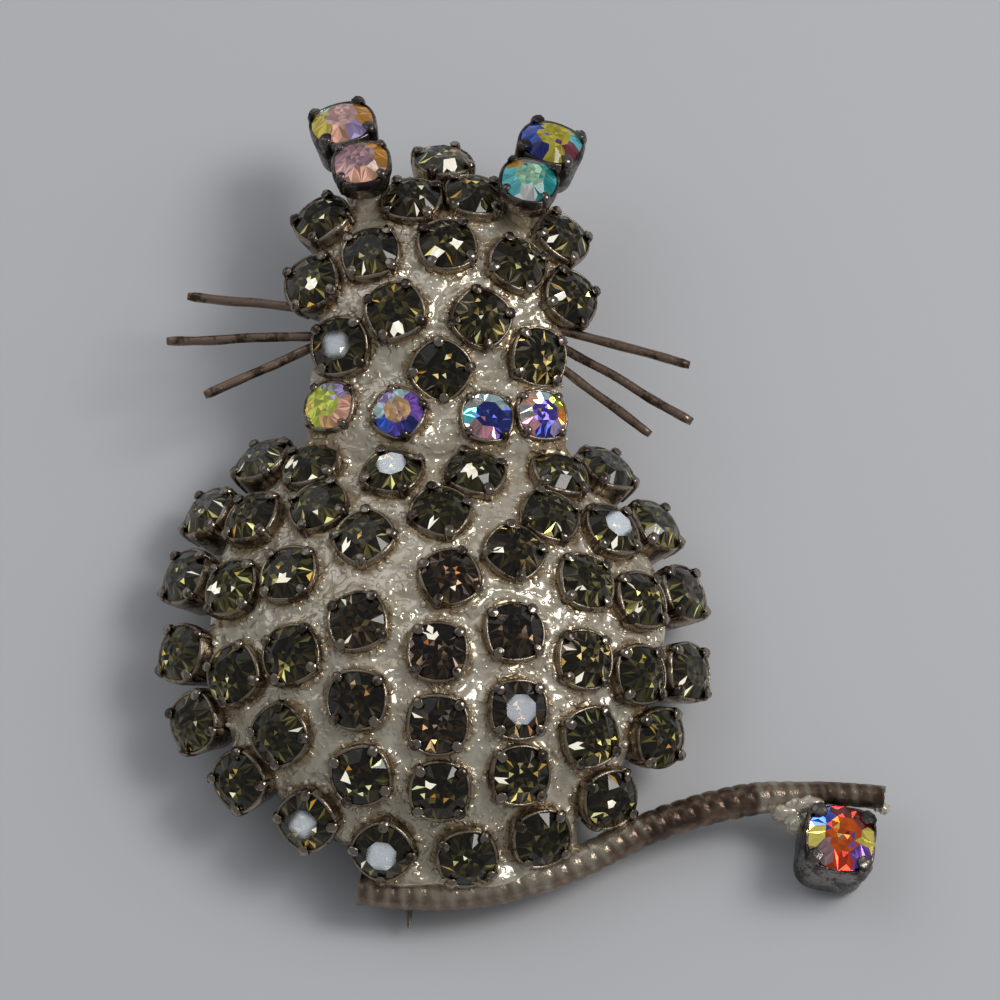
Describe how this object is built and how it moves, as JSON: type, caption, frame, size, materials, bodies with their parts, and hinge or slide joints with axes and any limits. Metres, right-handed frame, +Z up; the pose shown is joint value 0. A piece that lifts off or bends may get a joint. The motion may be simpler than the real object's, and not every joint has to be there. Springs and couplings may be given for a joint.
{
  "type": "cat brooch",
  "caption": "Openwork brooch shaped as a cat seen from the front, set all over with small cut stones in clawed cups, with whiskers, a beaded wire tail and a pin behind.",
  "frame": {"origin": "middle of the brooch's outline, at the height of the table it lies on", "axes": "+Z up out of the brooch's front, +Y from the cat's tail to its ears, +X to the tail's curled end"},
  "size_m": [0.0378, 0.0441, 0.0097],
  "materials": {
    "metal": "soldered silver-coloured metal, glossy and lumpy, a little tarnished",
    "smoky_glass": "cut and polished, foiled behind",
    "rainbow_glass": "cut and polished, with an iridescent coat and foiled behind",
    "pin_metal": "drawn and ground, dull"
  },
  "bodies": {
    "root": {"frame": "metal", "body_stones": "smoky_glass", "head_stones": "smoky_glass", "collar_stone_1": "rainbow_glass", "collar_stone_2": "rainbow_glass", "collar_stone_3": "rainbow_glass", "collar_stone_4": "rainbow_glass", "ear_stone_left_low": "rainbow_glass", "ear_stone_left_high": "rainbow_glass", "ear_stone_right_low": "rainbow_glass", "ear_stone_right_high": "rainbow_glass", "tail_stone": "rainbow_glass", "pin_back": "pin_metal"}
  },
  "joints": []
}
